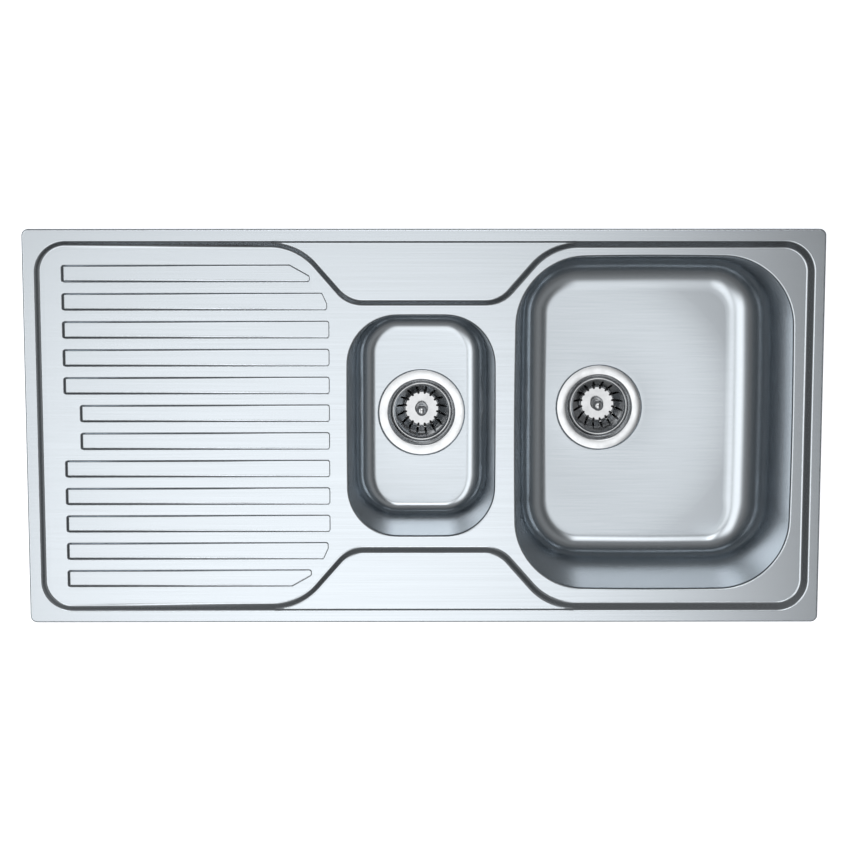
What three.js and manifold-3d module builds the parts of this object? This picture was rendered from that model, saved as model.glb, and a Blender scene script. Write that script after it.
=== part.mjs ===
// Inset kitchen sink with a drainer, a half bowl and a main bowl, pressed from stainless sheet.
// Millimetres. +X runs along the sink with the drainer at -X, +Y to the back, +Z up.
// The origin is the middle of the sink on the worktop's top face.
import * as THREE from "three";
import { mergeVertices } from "three/addons/utils/BufferGeometryUtils.js";
import Module from "manifold-3d";

// ---- The sheet and its frame ----
const LENGTH = 1000;
const WIDTH = 500;
const SHEET = 0.8;
const CORNER_RADIUS = 9;
const EDGE_RADIUS = 2.5;
const FRAME_TOP = 4;
const SKIRT_BOTTOM = 0.3;
const FRAME_LEFT = 14.5;
const FRAME_RIGHT = 12.5;
const FRAME_SIDE = 14.5;

// ---- The recess, which slopes from the far end of the drainer to the bowls ----
const RECESS_CORNER = 40;
const RECESS_DEPTH = 7.5;
const RECESS_DEPTH_LEFT = 4.2;
const DRAINER_GAP = 18.1;
const WALL_SHOULDER = 3.5;
const WALL_FOOT = 4;
const WALL_ANGLE = degrees(50);

// ---- The front and back ledges, bounded by S-curves ----
const LEDGE_DROP = 1.8;
const LEDGE_WIDTH = 72;
const LEDGE_SHIFT = 3.4;
const LEDGE_OVERHANG = 3.5;
const LEDGE_SPREAD = 54;
const LEDGE_OUTER_FILLET = 64;
const LEDGE_INNER_FILLET = 21;
const LEDGE_EDGE_GAP = 0.5;
const LEDGE_RADIUS = 2;

// ---- The drainer grooves ----
const GROOVES = 12;
const GROOVE_SIDE_GAP = 41.9;
const GROOVE_WIDTH = 23.4;
const GROOVE_START_GAP = 33;
const GROOVE_SETBACK = 20;
const GROOVE_END_GAP = 3;
const GROOVE_CORNER = 4.2;
const GROOVE_DEPTH_LEFT = 2.4;
const GROOVE_DEPTH_RIGHT = 0.9;
const GROOVE_RADIUS = 1.5;
const GROOVE_ANGLE = degrees(60);
const OUTER_GROOVE_TRIM = 24;
const OUTER_GROOVE_CHAMFER = 25.5;
const SECOND_GROOVE_TRIM = 2.5;
const SECOND_GROOVE_CHAMFER = 6.5;
const CHAMFER_WIDTH = 14.5;

// ---- The bowls: each is placed by its gaps to the recess, the ledges and its neighbour ----
const MAIN_BOWL = {
  length: 346.5, endGap: 25.25, backGap: 20.7, frontGap: 28.3, corner: 86, bow: 3,
  depth: 160, fillet: 52, drainFillet: 34, draft: degrees(5), drainAlong: -57, drainAcross: -1.8,
};
const HALF_BOWL = {
  length: 187, endGap: 25.65, backGap: 21.2, frontGap: 22.8, corner: 63, bow: 1,
  depth: 120, fillet: 24, drainFillet: 24, draft: degrees(4), drainAlong: 0.4, drainAcross: 0.2,
};
const BOWL_SHOULDER = 3;
const BOWL_FLANGE = 2.5;
const FLOOR_FALL = 2;

// ---- The drain recess and the basket strainer waste, from the bowl's floor downwards ----
const DRAIN_RADIUS = 57.5;
const DRAIN_DEPTH = 4;
const DRAIN_BEND = 1.2;
const DRAIN_ANGLE = degrees(70);
const DRAIN_HOLE = 45;
const GASKET = 1.8;
const UNDER_GASKET = 3;
const GASKET_INNER = 46.5;
const GASKET_OUTER = 54;
const FLANGE_RADIUS = 55.2;
const MOUTH_RADIUS = 43;
const CUP_SHEET = 1;
const SEAT_DEPTH = 13;
const SEAT_RADIUS = 35;
const CUP_DEPTH = 43;
const CUP_FLOOR_RADIUS = 28;
const DIMPLE_RADIUS = 8.5;
const DIMPLE_DEPTH = 4;
const CUP_HOLES = 6;
const CUP_HOLE_RADIUS = 4.5;
const CUP_HOLE_CIRCLE = 18;
const BASKET_SHEET = 0.8;
const BASKET_RIM = 38.5;
const BASKET_TOP_RADIUS = 33.5;
const BASKET_FLOOR_RADIUS = 22.5;
const SLOTS = 16;
const SLOT_WIDTH = 3;
const STOPPER = 3;
const STOPPER_RADIUS = 25;
const KNOB_RADIUS = 7;
const KNOB_STEM = 3.6;
const KNOB_HEIGHT = 29;
const BODY_FLANGE = 5;
const BODY_RADIUS = 56;
const BODY_WALL = 3.2;
const BODY_DEPTH = 52;
const TAIL_RADIUS = 20;
const TAIL_LENGTH = 42;
const BOSS_RADIUS = 6;
const BOSS_LENGTH = 14;
const BOSS_END = 2.2;
const WEBS = 3;
const WEB = 2.4;
const SCREW_RADIUS = 2.9;
const SCREW_HEAD = 5.5;
const SCREW_HEAD_HEIGHT = 2.8;

// ---- Seal, deadening pad, fixing rails and clips ----
const SEAL_WIDTH = 6;
const PAD = 3;
const PAD_LENGTH = 86;
const PAD_WIDTH = 180;
const RAIL_INSET = 10;
const RAIL_SHEET = 1;
const RAIL_WEB = 4.6;
const RAIL_HEIGHT = 14;
const SLOT_LENGTH = 18;
const SLOT_TOP = 5;
const SLOT_HEIGHT = 5;
const RAIL_START_GAP = 70.5;
const DRAINER_RAIL_GAP = 22;
const BOWL_RAIL_GAP = 29;
const BOWL_RAIL_END_GAP = 75.5;
const CLIP_END_GAP = 55;
const CLIP_SHEET = 1.5;
const CLIP_WIDTH = 16;
const CLIP_LENGTH = 48;
const HOOK_DROP = 4;
const GUIDE_DROP = 18;
const CLAW_CLEARANCE = 1.2;
const CLAW_WIDTH = 9;
const CLAW_LENGTH = 34;
const CLAW_SHEET = 3;
const CLAW_TEETH = 2;
const TOOTH = 4;
const CLIP_SCREW = 2.5;
const COLLAR = 4;
const COLLAR_HEIGHT = 1;
const CLIP_HEAD = 4.2;
const CLIP_HEAD_HEIGHT = 4;
const DRAW_TRAVEL = 14;

// ---- Fits and fineness ----
const GAP = 0.3;
const HOLE_FIT = 0.2;
const OVERCUT = 5;
const ARC_STEP = degrees(18);
const ROUND = 24;
const SMALL_ROUND = 6;

const FLOOR_Z = FRAME_TOP - RECESS_DEPTH;
const UNDERSIDE = FLOOR_Z - SHEET;
const RECESS_LEFT = -LENGTH / 2 + FRAME_LEFT;
const RECESS_RIGHT = LENGTH / 2 - FRAME_RIGHT;
const RECESS_SIDE = WIDTH / 2 - FRAME_SIDE;
const LEDGE_TOP = FRAME_TOP - LEDGE_DROP;
const LEDGE_LINE = RECESS_SIDE - LEDGE_WIDTH;
const MAIN = placed(MAIN_BOWL, RECESS_RIGHT, RECESS_SIDE);
const HALF = placed(HALF_BOWL, MAIN.left, LEDGE_LINE);
const DRAINER_END = HALF.left - DRAINER_GAP;
const LEDGE_MIDDLE = HALF.x + LEDGE_SHIFT;
const LEDGE_HALF_INNER = HALF_BOWL.length / 2 + LEDGE_OVERHANG;
const LEDGE_HALF_OUTER = LEDGE_HALF_INNER + LEDGE_SPREAD;
const LEDGE_BEND = Math.atan2(LEDGE_WIDTH, LEDGE_SPREAD);
const LEDGE_REACH = LEDGE_HALF_OUTER + LEDGE_OUTER_FILLET * Math.tan(LEDGE_BEND / 2);
const GROOVE_LEFT = RECESS_LEFT + GROOVE_START_GAP;
const GROOVE_RIGHT = DRAINER_END - GROOVE_END_GAP;
const GROOVE_PITCH = (2 * (RECESS_SIDE - GROOVE_SIDE_GAP)) / (GROOVES - 1);

const STEEL = { color: 0xc6ccd2, roughness: 0.36, metalness: 1 };
const POLISHED = { color: 0xdfe3e7, roughness: 0.12, metalness: 1 };
const ZINC = { color: 0xa9adb1, roughness: 0.5, metalness: 1 };
const RUBBER = { color: 0x1d1e20, roughness: 0.85, metalness: 0 };
const FOAM = { color: 0x4a4d50, roughness: 0.95, metalness: 0 };
const PLASTIC = { color: 0xe9ebec, roughness: 0.5, metalness: 0 };

const wasm = await Module();
wasm.setup();
const sink = new THREE.Group();

function degrees(angle) {
  return (angle * Math.PI) / 180;
}

// Where a bowl and its drain lie between what bounds it at its right end and on both sides.
function placed(bowl, end, side) {
  const right = end - bowl.endGap;
  const left = right - bowl.length;
  const front = bowl.frontGap - side;
  const back = side - bowl.backGap;
  const x = (left + right) / 2;
  const y = (front + back) / 2;
  const drain = { drainX: x + bowl.drainAlong, drainY: y + bowl.drainAcross };
  return { ...bowl, ...drain, left, x, y, width: back - front };
}

// ---- Solids ----

function solid(shape) {
  if (!shape.isBufferGeometry) return shape;
  const bare = shape.clone();
  bare.deleteAttribute("normal");
  bare.deleteAttribute("uv");
  const merged = mergeVertices(bare);
  const vertProperties = merged.attributes.position.array;
  const index = Array.from(merged.index.array);
  const corners = [];
  for (let i = 0; i < index.length; i += 3) {
    const [a, b, c] = index.slice(i, i + 3);
    if (a !== b && b !== c && c !== a) corners.push(a, b, c);
  }
  const triVerts = new Uint32Array(corners);
  return new wasm.Manifold(new wasm.Mesh({ numProp: 3, vertProperties, triVerts }));
}

function join(first, ...others) {
  return others.reduce((whole, other) => whole.add(solid(other)), solid(first));
}

function cut(body, ...tools) {
  return tools.reduce((whole, tool) => whole.subtract(solid(tool)), solid(body));
}

function geometryOf(shape) {
  if (shape.isBufferGeometry) return shape;
  const mesh = shape.getMesh();
  const geometry = new THREE.BufferGeometry();
  geometry.setAttribute("position", new THREE.BufferAttribute(mesh.vertProperties, mesh.numProp));
  geometry.setIndex(new THREE.BufferAttribute(mesh.triVerts, 1));
  geometry.computeVertexNormals();
  return geometry;
}

function add(name, shape, look, group = sink) {
  const mesh = new THREE.Mesh(geometryOf(shape), new THREE.MeshStandardMaterial(look));
  mesh.name = name;
  group.add(mesh);
  return mesh;
}

// ---- Outlines: counterclockwise lists of points in plan ----

// A polygon whose corners [x, y, radius] are rounded by tangent arcs.
function rounded(corners, step = ARC_STEP) {
  return corners.flatMap(([x, y, radius], i) => {
    const corner = new THREE.Vector2(x, y);
    const from = pointOf(corners.at(i - 1)).sub(corner).normalize();
    const to = pointOf(corners[(i + 1) % corners.length]).sub(corner).normalize();
    const opening = Math.acos(from.dot(to));
    const middle = from.clone().add(to).normalize();
    const centre = middle.multiplyScalar(radius / Math.sin(opening / 2)).add(corner);
    const side = Math.sign(from.cross(to));
    const start = from.clone().multiplyScalar(radius / Math.tan(opening / 2)).add(corner).sub(centre);
    const turn = -side * (Math.PI - opening);
    const steps = Math.max(1, Math.round(Math.abs(turn) / step));
    return Array.from({ length: steps + 1 }, (_, k) =>
      start.clone().rotateAround(new THREE.Vector2(), (turn * k) / steps).add(centre));
  });
}

function pointOf([x, y]) {
  return new THREE.Vector2(x, y);
}

function rectangle(left, right, front, back, radius, step) {
  return rounded([[right, front, radius], [right, back, radius], [left, back, radius],
    [left, front, radius]], step);
}

// The outline moved inwards along its mitred normals; the distance may differ from point to point.
function inset(outline, distanceAt) {
  return outline.map((point, i) => {
    const before = outwardNormal(outline.at(i - 1), point);
    const after = outwardNormal(point, outline[(i + 1) % outline.length]);
    const mitre = before.clone().add(after).normalize();
    const distance = typeof distanceAt === "function" ? distanceAt(point, mitre) : distanceAt;
    return point.clone().addScaledVector(mitre, -distance / mitre.dot(after));
  });
}

function outwardNormal(from, to) {
  const along = to.clone().sub(from).normalize();
  return new THREE.Vector2(along.y, -along.x);
}

function circle(x, y, radius, count, start = 0) {
  return Array.from({ length: count }, (_, i) => {
    const angle = start + (i * 2 * Math.PI) / count;
    return new THREE.Vector2(x + radius * Math.cos(angle), y + radius * Math.sin(angle));
  });
}

function ring(outline, z) {
  return outline.map((point) => new THREE.Vector3(point.x, point.y, z));
}

// ---- Skins over stacks of rings, listed from the top down ----

function skin(rings, bottomFaces) {
  const count = rings[0].length;
  const last = (rings.length - 1) * count;
  const top = triangles(rings[0]);
  const bottom = (bottomFaces ?? triangles(rings.at(-1))).map(([a, b, c]) => [last + a, last + c, last + b]);
  return surface(rings, [...top, ...bottom], rings.length - 1);
}

// A shell whose stack of rings closes on itself: down the outside, then up the inside.
function shell(rings) {
  return surface(rings, [], rings.length);
}

function surface(rings, caps, bands) {
  const count = rings[0].length;
  const faces = [...caps];
  for (let band = 0; band < bands; band++) {
    const upper = band * count;
    const lower = ((band + 1) % rings.length) * count;
    for (let i = 0; i < count; i++) {
      const next = (i + 1) % count;
      faces.push([lower + i, lower + next, upper + next], [lower + i, upper + next, upper + i]);
    }
  }
  const geometry = new THREE.BufferGeometry().setFromPoints(rings.flat());
  geometry.setIndex(faces.flat());
  return geometry;
}

function triangles(points) {
  return THREE.ShapeUtils.triangulateShape(points.map((p) => new THREE.Vector2(p.x, p.y)), []);
}

function lathe(profile, count = ROUND) {
  return new THREE.LatheGeometry(profile.map(([r, z]) => new THREE.Vector2(r, z)), count)
    .rotateX(Math.PI / 2);
}

// A ring of rectangular section.
function washer(inner, outer, top, bottom, count = ROUND - 8) {
  return lathe([[inner, bottom], [outer, bottom], [outer, top], [inner, top], [inner, bottom]], count);
}

function rod(radius, top, bottom, count = SMALL_ROUND) {
  return new THREE.CylinderGeometry(radius, radius, top - bottom, count)
    .rotateX(Math.PI / 2).translate(0, 0, (top + bottom) / 2);
}

// A tool for a hole whose flats clear the round pin of that radius that turns in it.
function bore(pin, top, bottom) {
  return rod((pin + HOLE_FIT) / Math.cos(Math.PI / SMALL_ROUND), top, bottom);
}

function block(x0, x1, y0, y1, z0, z1) {
  return new THREE.BoxGeometry(x1 - x0, y1 - y0, z1 - z0)
    .translate((x0 + x1) / 2, (y0 + y1) / 2, (z0 + z1) / 2);
}

// ---- Pressings ----

// The section of a pressed wall: how far in, how far down and how steep each of its points is.
function pressSection(depth, shoulder, foot, angle, shoulderSteps = 2, footSteps = 1) {
  const bend = Math.min(angle, Math.acos(Math.max(-1, 1 - depth / (shoulder + foot))));
  const flank = Math.max(0, (depth - (shoulder + foot) * (1 - Math.cos(bend))) / Math.sin(bend));
  const run = (shoulder + foot) * Math.sin(bend) + flank * Math.cos(bend);
  const section = [];
  for (let k = 0; k <= shoulderSteps; k++) {
    const lean = (bend * k) / shoulderSteps;
    section.push({ run: shoulder * Math.sin(lean), drop: shoulder * (1 - Math.cos(lean)), lean });
  }
  for (let k = footSteps; k >= 0; k--) {
    const lean = (bend * k) / footSteps;
    section.push({ run: run - foot * Math.sin(lean), drop: depth - foot * (1 - Math.cos(lean)), lean });
  }
  return section;
}

// The ring at step k of a wall whose top and section are given for each point of its outline.
function pressedRing(outline, sections, k, thickness) {
  let index = 0;
  const flat = inset(outline, () => {
    const { run, lean } = sections[index++].section[k];
    return run - thickness * Math.sin(lean);
  });
  return flat.map((point, i) => {
    const { top, section } = sections[i];
    const z = top - section[k].drop - thickness * Math.cos(section[k].lean);
    return new THREE.Vector3(point.x, point.y, z);
  });
}

// The two sides of a pressing in sheet: the void that the punch leaves above it and the solid whose
// underside the die shapes. Its top and depth may change from point to point.
function pressing(outline, topAt, floorAt, form, crease) {
  const sections = outline.map((point, i, all) => {
    const top = topAt(point);
    const after = outwardNormal(point, all[(i + 1) % all.length]);
    const before = outwardNormal(all.at(i - 1), point);
    const mitre = before.add(after).normalize();
    let section = form(top - floorAt(point));
    for (let pass = 0; pass < 3; pass++) {
      const reach = section.at(-1).run / mitre.dot(after);
      const foot = point.clone().addScaledVector(mitre, -reach);
      section = form(top - floorAt(foot));
    }
    return { top, section };
  });
  const step = (k, thickness) => pressedRing(outline, sections, k, thickness);
  const below = sections[0].section.slice(1).map((_, k) => k + 1);
  const side = (thickness) => {
    const start = step(0, thickness);
    const first = step(1, thickness);
    const rise = SHEET / 2;
    const lip = start.map((point, i) => {
      const slope = point.clone().sub(first[i]);
      return slope.multiplyScalar(rise / slope.z).add(point);
    });
    return creased([lip, ...below.map((k) => step(k, thickness))], crease);
  };
  return { punch: side(0), die: side(SHEET) };
}

// Skins a pressing, with an edge across its bottom face where the sheet changes slope.
function creased(rings, crease) {
  if (crease === undefined) return skin(rings);
  const bottom = rings.at(-1);
  const crossings = [];
  bottom.forEach((point, i) => {
    const next = bottom[(i + 1) % bottom.length];
    if ((point.x - crease) * (next.x - crease) < 0) crossings.push(i);
  });
  const split = rings.map((one) => one.flatMap((point, i) => {
    if (!crossings.includes(i)) return [point];
    const next = bottom[(i + 1) % bottom.length];
    const share = (crease - bottom[i].x) / (next.x - bottom[i].x);
    return [point, point.clone().lerp(one[(i + 1) % one.length], share)];
  }));
  const floor = split.at(-1);
  const sides = [(x) => x <= crease + 1e-6, (x) => x >= crease - 1e-6];
  const faces = sides.flatMap((holds) => {
    const members = floor.map((_, i) => i).filter((i) => holds(floor[i].x));
    return triangles(members.map((i) => floor[i])).map((face) => face.map((i) => members[i]));
  });
  return skin(split, faces);
}

// ---- Deck ----

const drainerFall = (RECESS_DEPTH - RECESS_DEPTH_LEFT) / (DRAINER_END - RECESS_LEFT);

function floorAt(point) {
  return FLOOR_Z + drainerFall * Math.max(0, DRAINER_END - point.x);
}

function blank() {
  const outline = rectangle(-LENGTH / 2, LENGTH / 2, -WIDTH / 2, WIDTH / 2, CORNER_RADIUS);
  const layer = (thickness, bottom) => {
    const rings = [0, 1, 2].map((k) => {
      const lean = (Math.PI / 4) * k;
      const radius = EDGE_RADIUS - thickness;
      const edge = inset(outline, EDGE_RADIUS - radius * Math.sin(lean));
      return ring(edge, FRAME_TOP - EDGE_RADIUS + radius * Math.cos(lean));
    });
    return skin([...rings, ring(inset(outline, thickness), bottom)]);
  };
  return cut(layer(0, SKIRT_BOTTOM), layer(SHEET, SKIRT_BOTTOM - OVERCUT));
}

function recessOutline() {
  const edge = RECESS_SIDE;
  const ledgeCorners = [
    [LEDGE_HALF_OUTER, edge, LEDGE_OUTER_FILLET],
    [LEDGE_HALF_INNER, LEDGE_LINE, LEDGE_INNER_FILLET],
    [-LEDGE_HALF_INNER, LEDGE_LINE, LEDGE_INNER_FILLET],
    [-LEDGE_HALF_OUTER, edge, LEDGE_OUTER_FILLET],
  ];
  return rounded([
    [RECESS_LEFT, -edge, RECESS_CORNER],
    ...ledgeCorners.map(([x, y, radius]) => [LEDGE_MIDDLE - x, -y, radius]),
    [RECESS_RIGHT, -edge, RECESS_CORNER],
    [RECESS_RIGHT, edge, RECESS_CORNER],
    ...ledgeCorners.map(([x, y, radius]) => [LEDGE_MIDDLE + x, y, radius]),
    [RECESS_LEFT, edge, RECESS_CORNER],
  ]);
}

function recess() {
  const form = (depth) => pressSection(depth, WALL_SHOULDER, WALL_FOOT, WALL_ANGLE, 2, 2);
  return pressing(recessOutline(), () => FRAME_TOP, floorAt, form, DRAINER_END);
}

function ledge(side) {
  const near = side * (LEDGE_LINE - LEDGE_WIDTH);
  const far = side * (RECESS_SIDE - LEDGE_EDGE_GAP);
  const outline = rectangle(LEDGE_MIDDLE - LEDGE_REACH, LEDGE_MIDDLE + LEDGE_REACH,
    Math.min(near, far), Math.max(near, far), WALL_SHOULDER);
  const form = (depth) => pressSection(depth, LEDGE_RADIUS, LEDGE_RADIUS, WALL_ANGLE, 1, 1);
  return pressing(outline, () => FRAME_TOP, () => LEDGE_TOP, form);
}

function groove(index) {
  const middle = (GROOVES - 1) / 2;
  const y = (middle - index) * GROOVE_PITCH;
  const side = Math.sign(y);
  const fromEdge = Math.min(index, GROOVES - 1 - index);
  const isShort = Math.abs(index - middle) < 1;
  const left = GROOVE_LEFT + (isShort ? GROOVE_SETBACK : 0);
  const inner = y - (side * GROOVE_WIDTH) / 2;
  const outer = y + (side * GROOVE_WIDTH) / 2;
  const trims = [[OUTER_GROOVE_TRIM, OUTER_GROOVE_CHAMFER], [SECOND_GROOVE_TRIM, SECOND_GROOVE_CHAMFER]];
  const [trim, chamfer] = trims[fromEdge] ?? [0, 0];
  const right = GROOVE_RIGHT - trim;
  const end = chamfer
    ? [[right, outer - side * CHAMFER_WIDTH, GROOVE_CORNER], [right - chamfer, outer, GROOVE_CORNER]]
    : [[right, outer, GROOVE_CORNER]];
  const corners = [[left, inner, GROOVE_CORNER], [right, inner, GROOVE_CORNER], ...end,
    [left, outer, GROOVE_CORNER]];
  const outline = rounded(side > 0 ? corners : corners.reverse(), degrees(45));
  const share = (x) => (x - GROOVE_LEFT) / (GROOVE_RIGHT - GROOVE_LEFT);
  const depth = (x) => GROOVE_DEPTH_LEFT + (GROOVE_DEPTH_RIGHT - GROOVE_DEPTH_LEFT) * share(x);
  const form = (drop) => pressSection(drop, GROOVE_RADIUS, GROOVE_RADIUS, GROOVE_ANGLE, 1, 1);
  return pressing(outline, floorAt, (point) => floorAt(point) - depth(point.x), form);
}

function bowlOutline(bowl, cornerSteps = 4, sideSteps = 3) {
  const halfLength = bowl.length / 2;
  const halfWidth = bowl.width / 2;
  const corners = rectangle(-halfLength, halfLength, -halfWidth, halfWidth, bowl.corner,
    Math.PI / 2 / cornerSteps);
  const outline = corners.flatMap((point, i) => {
    if (i % (cornerSteps + 1) !== cornerSteps) return [point];
    const next = corners[(i + 1) % corners.length];
    return Array.from({ length: sideSteps }, (_, k) => point.clone().lerp(next, k / sideSteps));
  });
  return outline.map(({ x, y }) => {
    const bowX = bowl.bow * (1 - (y / halfWidth) ** 2) * (x / halfLength);
    const bowY = bowl.bow * (1 - (x / halfLength) ** 2) * (y / halfWidth);
    return new THREE.Vector2(bowl.x + x + bowX, bowl.y + y + bowY);
  });
}

function deck() {
  const grooves = Array.from({ length: GROOVES }, (_, index) => groove(index));
  const pressings = [recess(), ledge(1), ledge(-1), ...grooves];
  const apertures = [MAIN, HALF].map((bowl) => {
    const outline = bowlOutline(bowl);
    return skin([ring(outline, FLOOR_Z + OVERCUT), ring(outline, UNDERSIDE - OVERCUT)]);
  });
  const sheet = join(blank(), ...pressings.map((one) => one.die));
  return cut(sheet, ...pressings.map((one) => one.punch), ...apertures);
}

add("deck", deck(), STEEL);

// ---- Bowls ----

// The fillet round the floor, tighter on the left, where the main bowl's drain is close to the wall.
function filletAt(spec, point) {
  const inward = THREE.MathUtils.smoothstep(point.x - spec.left, 0, spec.corner);
  return THREE.MathUtils.lerp(spec.drainFillet, spec.fillet, inward);
}

// A deep-drawn bowl with a narrow welding flange under the deck and a round drain recess in its floor.
function bowl(spec) {
  const outline = bowlOutline(spec);
  const count = outline.length;
  const wall = outline.map((point) => {
    const fillet = filletAt(spec, point);
    const section = pressSection(spec.depth, BOWL_SHOULDER, fillet, Math.PI / 2 - spec.draft, 2, 4);
    return { top: UNDERSIDE, section };
  });
  const seat = pressSection(DRAIN_DEPTH, DRAIN_BEND, DRAIN_BEND, DRAIN_ANGLE, 1, 1);
  const floor = drainFloor(spec);
  const start = -Math.PI / 4 - ((count / 4 - 3) / 2) * ((2 * Math.PI) / count);
  const round = (radius, z) => ring(circle(spec.drainX, spec.drainY, radius, count, start), z);
  const face = (thickness) => [
    ring(inset(outline, -BOWL_FLANGE), UNDERSIDE - thickness),
    ...wall[0].section.map((_, k) => pressedRing(outline, wall, k, thickness)),
    ...seat.map(({ run, drop, lean }) => round(
      DRAIN_RADIUS - run + thickness * Math.sin(lean),
      floor - drop - thickness * Math.cos(lean),
    )),
    round(DRAIN_HOLE, floor - DRAIN_DEPTH - thickness),
  ];
  return shell([...face(SHEET), ...face(0).reverse()]);
}

function drainFloor(spec) {
  return UNDERSIDE - spec.depth - FLOOR_FALL;
}

add("main_bowl", bowl(MAIN), STEEL);
add("half_bowl", bowl(HALF), STEEL);

function deadeningPad() {
  const left = MAIN.drainX + DRAIN_RADIUS + SHEET + PAD;
  const top = drainFloor(MAIN) - SHEET - GAP;
  const outline = rectangle(left, left + PAD_LENGTH, MAIN.y - PAD_WIDTH / 2, MAIN.y + PAD_WIDTH / 2,
    CORNER_RADIUS);
  return skin([ring(outline, top), ring(outline, top - PAD)]);
}

add("main_bowl_deadening_pad", deadeningPad(), RUBBER);

function rimSeal() {
  const outline = rectangle(-LENGTH / 2, LENGTH / 2, -WIDTH / 2, WIDTH / 2, CORNER_RADIUS);
  const outer = inset(outline, EDGE_RADIUS + GAP);
  const inner = inset(outline, EDGE_RADIUS + GAP + SEAL_WIDTH);
  const top = FRAME_TOP - SHEET;
  return shell([ring(outer, top), ring(outer, 0), ring(inner, 0), ring(inner, top)]);
}

add("rim_seal", rimSeal(), FOAM);

// ---- Basket strainer wastes ----

// Heights in a waste are measured from the floor of its drain recess.
const FLANGE_TOP = GASKET + CUP_SHEET;
const SEAT_Z = FLANGE_TOP - SEAT_DEPTH;
const CUP_FLOOR = FLANGE_TOP - CUP_DEPTH;
const BODY_TOP = -SHEET - UNDER_GASKET;
const STOPPER_BOTTOM = CUP_FLOOR + GAP;
const BASKET_FLOOR = STOPPER_BOTTOM + STOPPER + BASKET_SHEET;
const DIMPLE = CUP_FLOOR - DIMPLE_DEPTH;
const SCREW_TIP = DIMPLE - CUP_SHEET - BOSS_LENGTH + BOSS_END + GAP;

function wasteCup() {
  const t = CUP_SHEET;
  const seatEdge = BASKET_RIM + 2 * GAP;
  const profile = [
    [SCREW_RADIUS + HOLE_FIT, DIMPLE - t], [DIMPLE_RADIUS + t, DIMPLE - t],
    [DIMPLE_RADIUS + t, CUP_FLOOR - t], [CUP_FLOOR_RADIUS, CUP_FLOOR - t], [SEAT_RADIUS + t, SEAT_Z - t],
    [seatEdge + t, SEAT_Z - t], [MOUTH_RADIUS + t, GASKET], [FLANGE_RADIUS, GASKET],
    [FLANGE_RADIUS, FLANGE_TOP - t / 2], [FLANGE_RADIUS - t, FLANGE_TOP],
    [MOUTH_RADIUS + t, FLANGE_TOP], [MOUTH_RADIUS, FLANGE_TOP - t],
    [seatEdge, SEAT_Z], [SEAT_RADIUS, SEAT_Z], [CUP_FLOOR_RADIUS - t, CUP_FLOOR],
    [DIMPLE_RADIUS, CUP_FLOOR], [DIMPLE_RADIUS, DIMPLE], [SCREW_RADIUS + HOLE_FIT, DIMPLE],
    [SCREW_RADIUS + HOLE_FIT, DIMPLE - t],
  ];
  const holes = circle(0, 0, CUP_HOLE_CIRCLE, CUP_HOLES).map(({ x, y }) =>
    rod(CUP_HOLE_RADIUS, CUP_FLOOR + 2 * t, CUP_FLOOR - 3 * t).translate(x, y, 0));
  return cut(lathe(profile), ...holes);
}

function wasteBody() {
  const inner = MOUTH_RADIUS + 2 * CUP_SHEET;
  const outer = inner + BODY_WALL;
  const bore = TAIL_RADIUS - BODY_WALL;
  const bottom = BODY_TOP - BODY_DEPTH;
  const funnel = bottom - TAIL_RADIUS / 2;
  const shellProfile = [
    [inner, BODY_TOP], [inner, bottom], [bore, funnel], [bore, funnel - TAIL_LENGTH],
    [TAIL_RADIUS, funnel - TAIL_LENGTH], [TAIL_RADIUS, funnel - BODY_WALL],
    [outer, bottom - BODY_WALL], [outer, BODY_TOP - BODY_FLANGE], [BODY_RADIUS, BODY_TOP - BODY_FLANGE],
    [BODY_RADIUS, BODY_TOP], [inner, BODY_TOP],
  ];
  const bossTop = DIMPLE - CUP_SHEET;
  const boss = rod(BOSS_RADIUS, bossTop, bossTop - BOSS_LENGTH, ROUND / 2);
  const webs = circle(0, 0, 1, WEBS).map(({ x, y }) => block(0, inner + BODY_WALL / 2, -WEB / 2, WEB / 2,
    bossTop - BOSS_LENGTH, bossTop - WEB).rotateZ(Math.atan2(y, x)));
  const hole = rod(SCREW_RADIUS + HOLE_FIT, bossTop + OVERCUT, SCREW_TIP - GAP);
  return cut(join(lathe(shellProfile), boss, ...webs), hole);
}

function wasteScrew() {
  const under = DIMPLE;
  return lathe([
    [0, SCREW_TIP], [SCREW_RADIUS, SCREW_TIP], [SCREW_RADIUS, under], [SCREW_HEAD, under],
    [SCREW_HEAD, under + SCREW_HEAD_HEIGHT - 1], [SCREW_HEAD - 1, under + SCREW_HEAD_HEIGHT],
    [0, under + SCREW_HEAD_HEIGHT],
  ], SMALL_ROUND);
}

// The basket: a rolled rim on the cup's seat, a cone with slots and a flat floor.
function basket() {
  const t = BASKET_SHEET;
  const rim = SEAT_Z + GAP;
  const profile = [
    [0, BASKET_FLOOR - t], [BASKET_FLOOR_RADIUS, BASKET_FLOOR - t],
    [BASKET_TOP_RADIUS, rim - 2 * t], [BASKET_TOP_RADIUS + t, rim],
    [BASKET_RIM, rim], [BASKET_RIM, rim + 2 * t], [BASKET_RIM - t, rim + 3 * t],
    [BASKET_TOP_RADIUS + t, rim + 2 * t], [BASKET_TOP_RADIUS - t, rim],
    [BASKET_FLOOR_RADIUS - t, BASKET_FLOOR], [0, BASKET_FLOOR],
  ];
  const slots = circle(0, 0, 1, SLOTS, Math.PI / SLOTS).map(({ x, y }) => {
    const slot = block(BASKET_FLOOR_RADIUS - 1, BASKET_TOP_RADIUS, -SLOT_WIDTH / 2, SLOT_WIDTH / 2,
      BASKET_FLOOR + 2 * t, rim - 4 * t);
    return slot.rotateZ(Math.atan2(y, x));
  });
  return cut(lathe(profile, SLOTS * 2), ...slots);
}

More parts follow.
